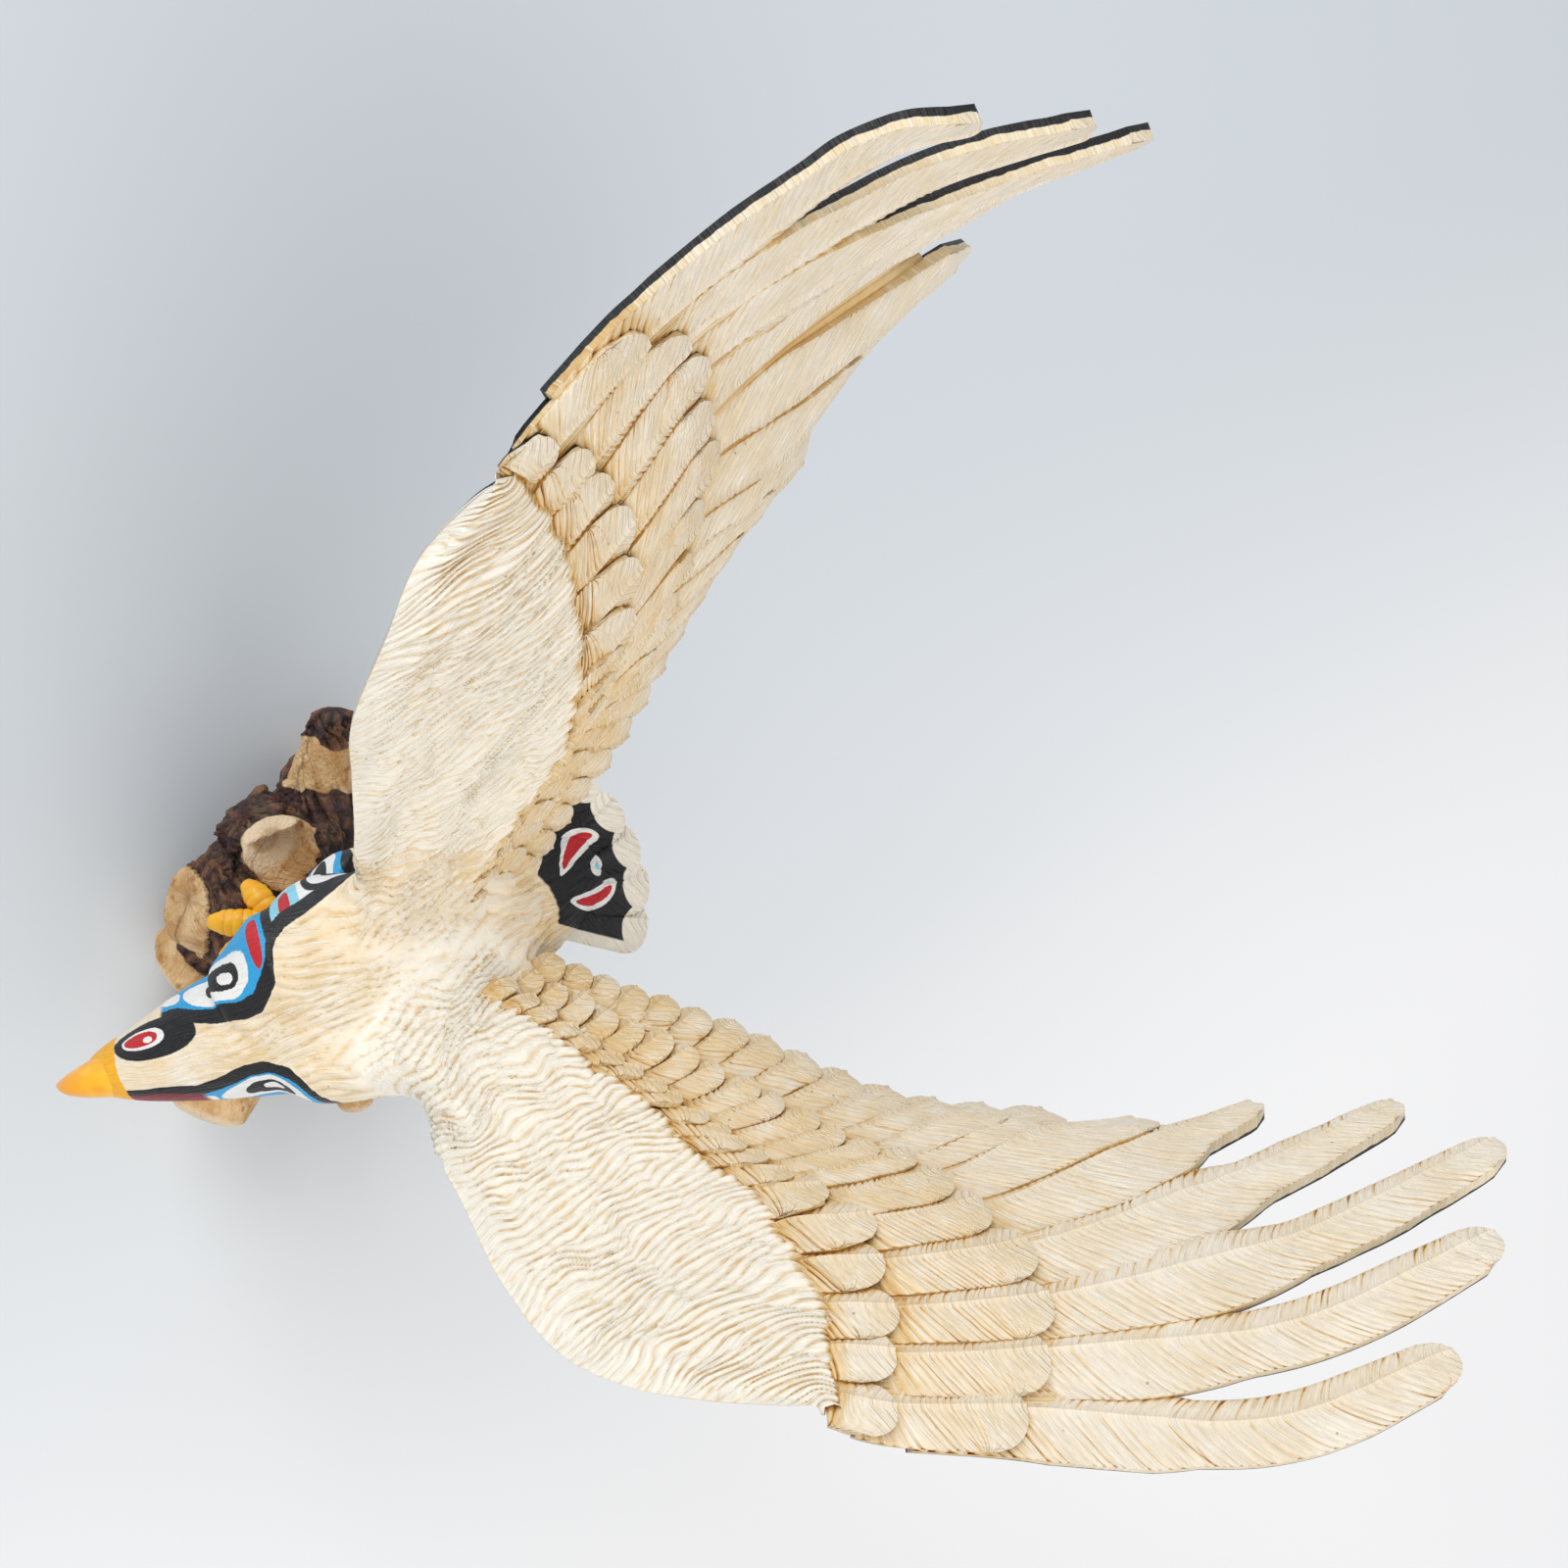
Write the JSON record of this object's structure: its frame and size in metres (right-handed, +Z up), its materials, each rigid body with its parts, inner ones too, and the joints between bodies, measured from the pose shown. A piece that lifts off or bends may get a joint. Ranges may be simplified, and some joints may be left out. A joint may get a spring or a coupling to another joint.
{
  "type": "eagle figurine",
  "caption": "Cast resin eagle with raised, swept wings and painted head, breast and tail, standing on a gnarled driftwood base.",
  "frame": {"origin": "on the flat underside of the driftwood, below the feet", "axes": "+Z up, -Y towards the beak, +X towards the bird's left wing"},
  "size_m": [0.169, 0.1708, 0.1835],
  "materials": {
    "cream_resin": "painted cast resin, satin",
    "driftwood": "resin cast and painted as driftwood"
  },
  "bodies": {
    "root": {"eagle": "cream_resin", "driftwood_base": "driftwood"}
  },
  "joints": []
}
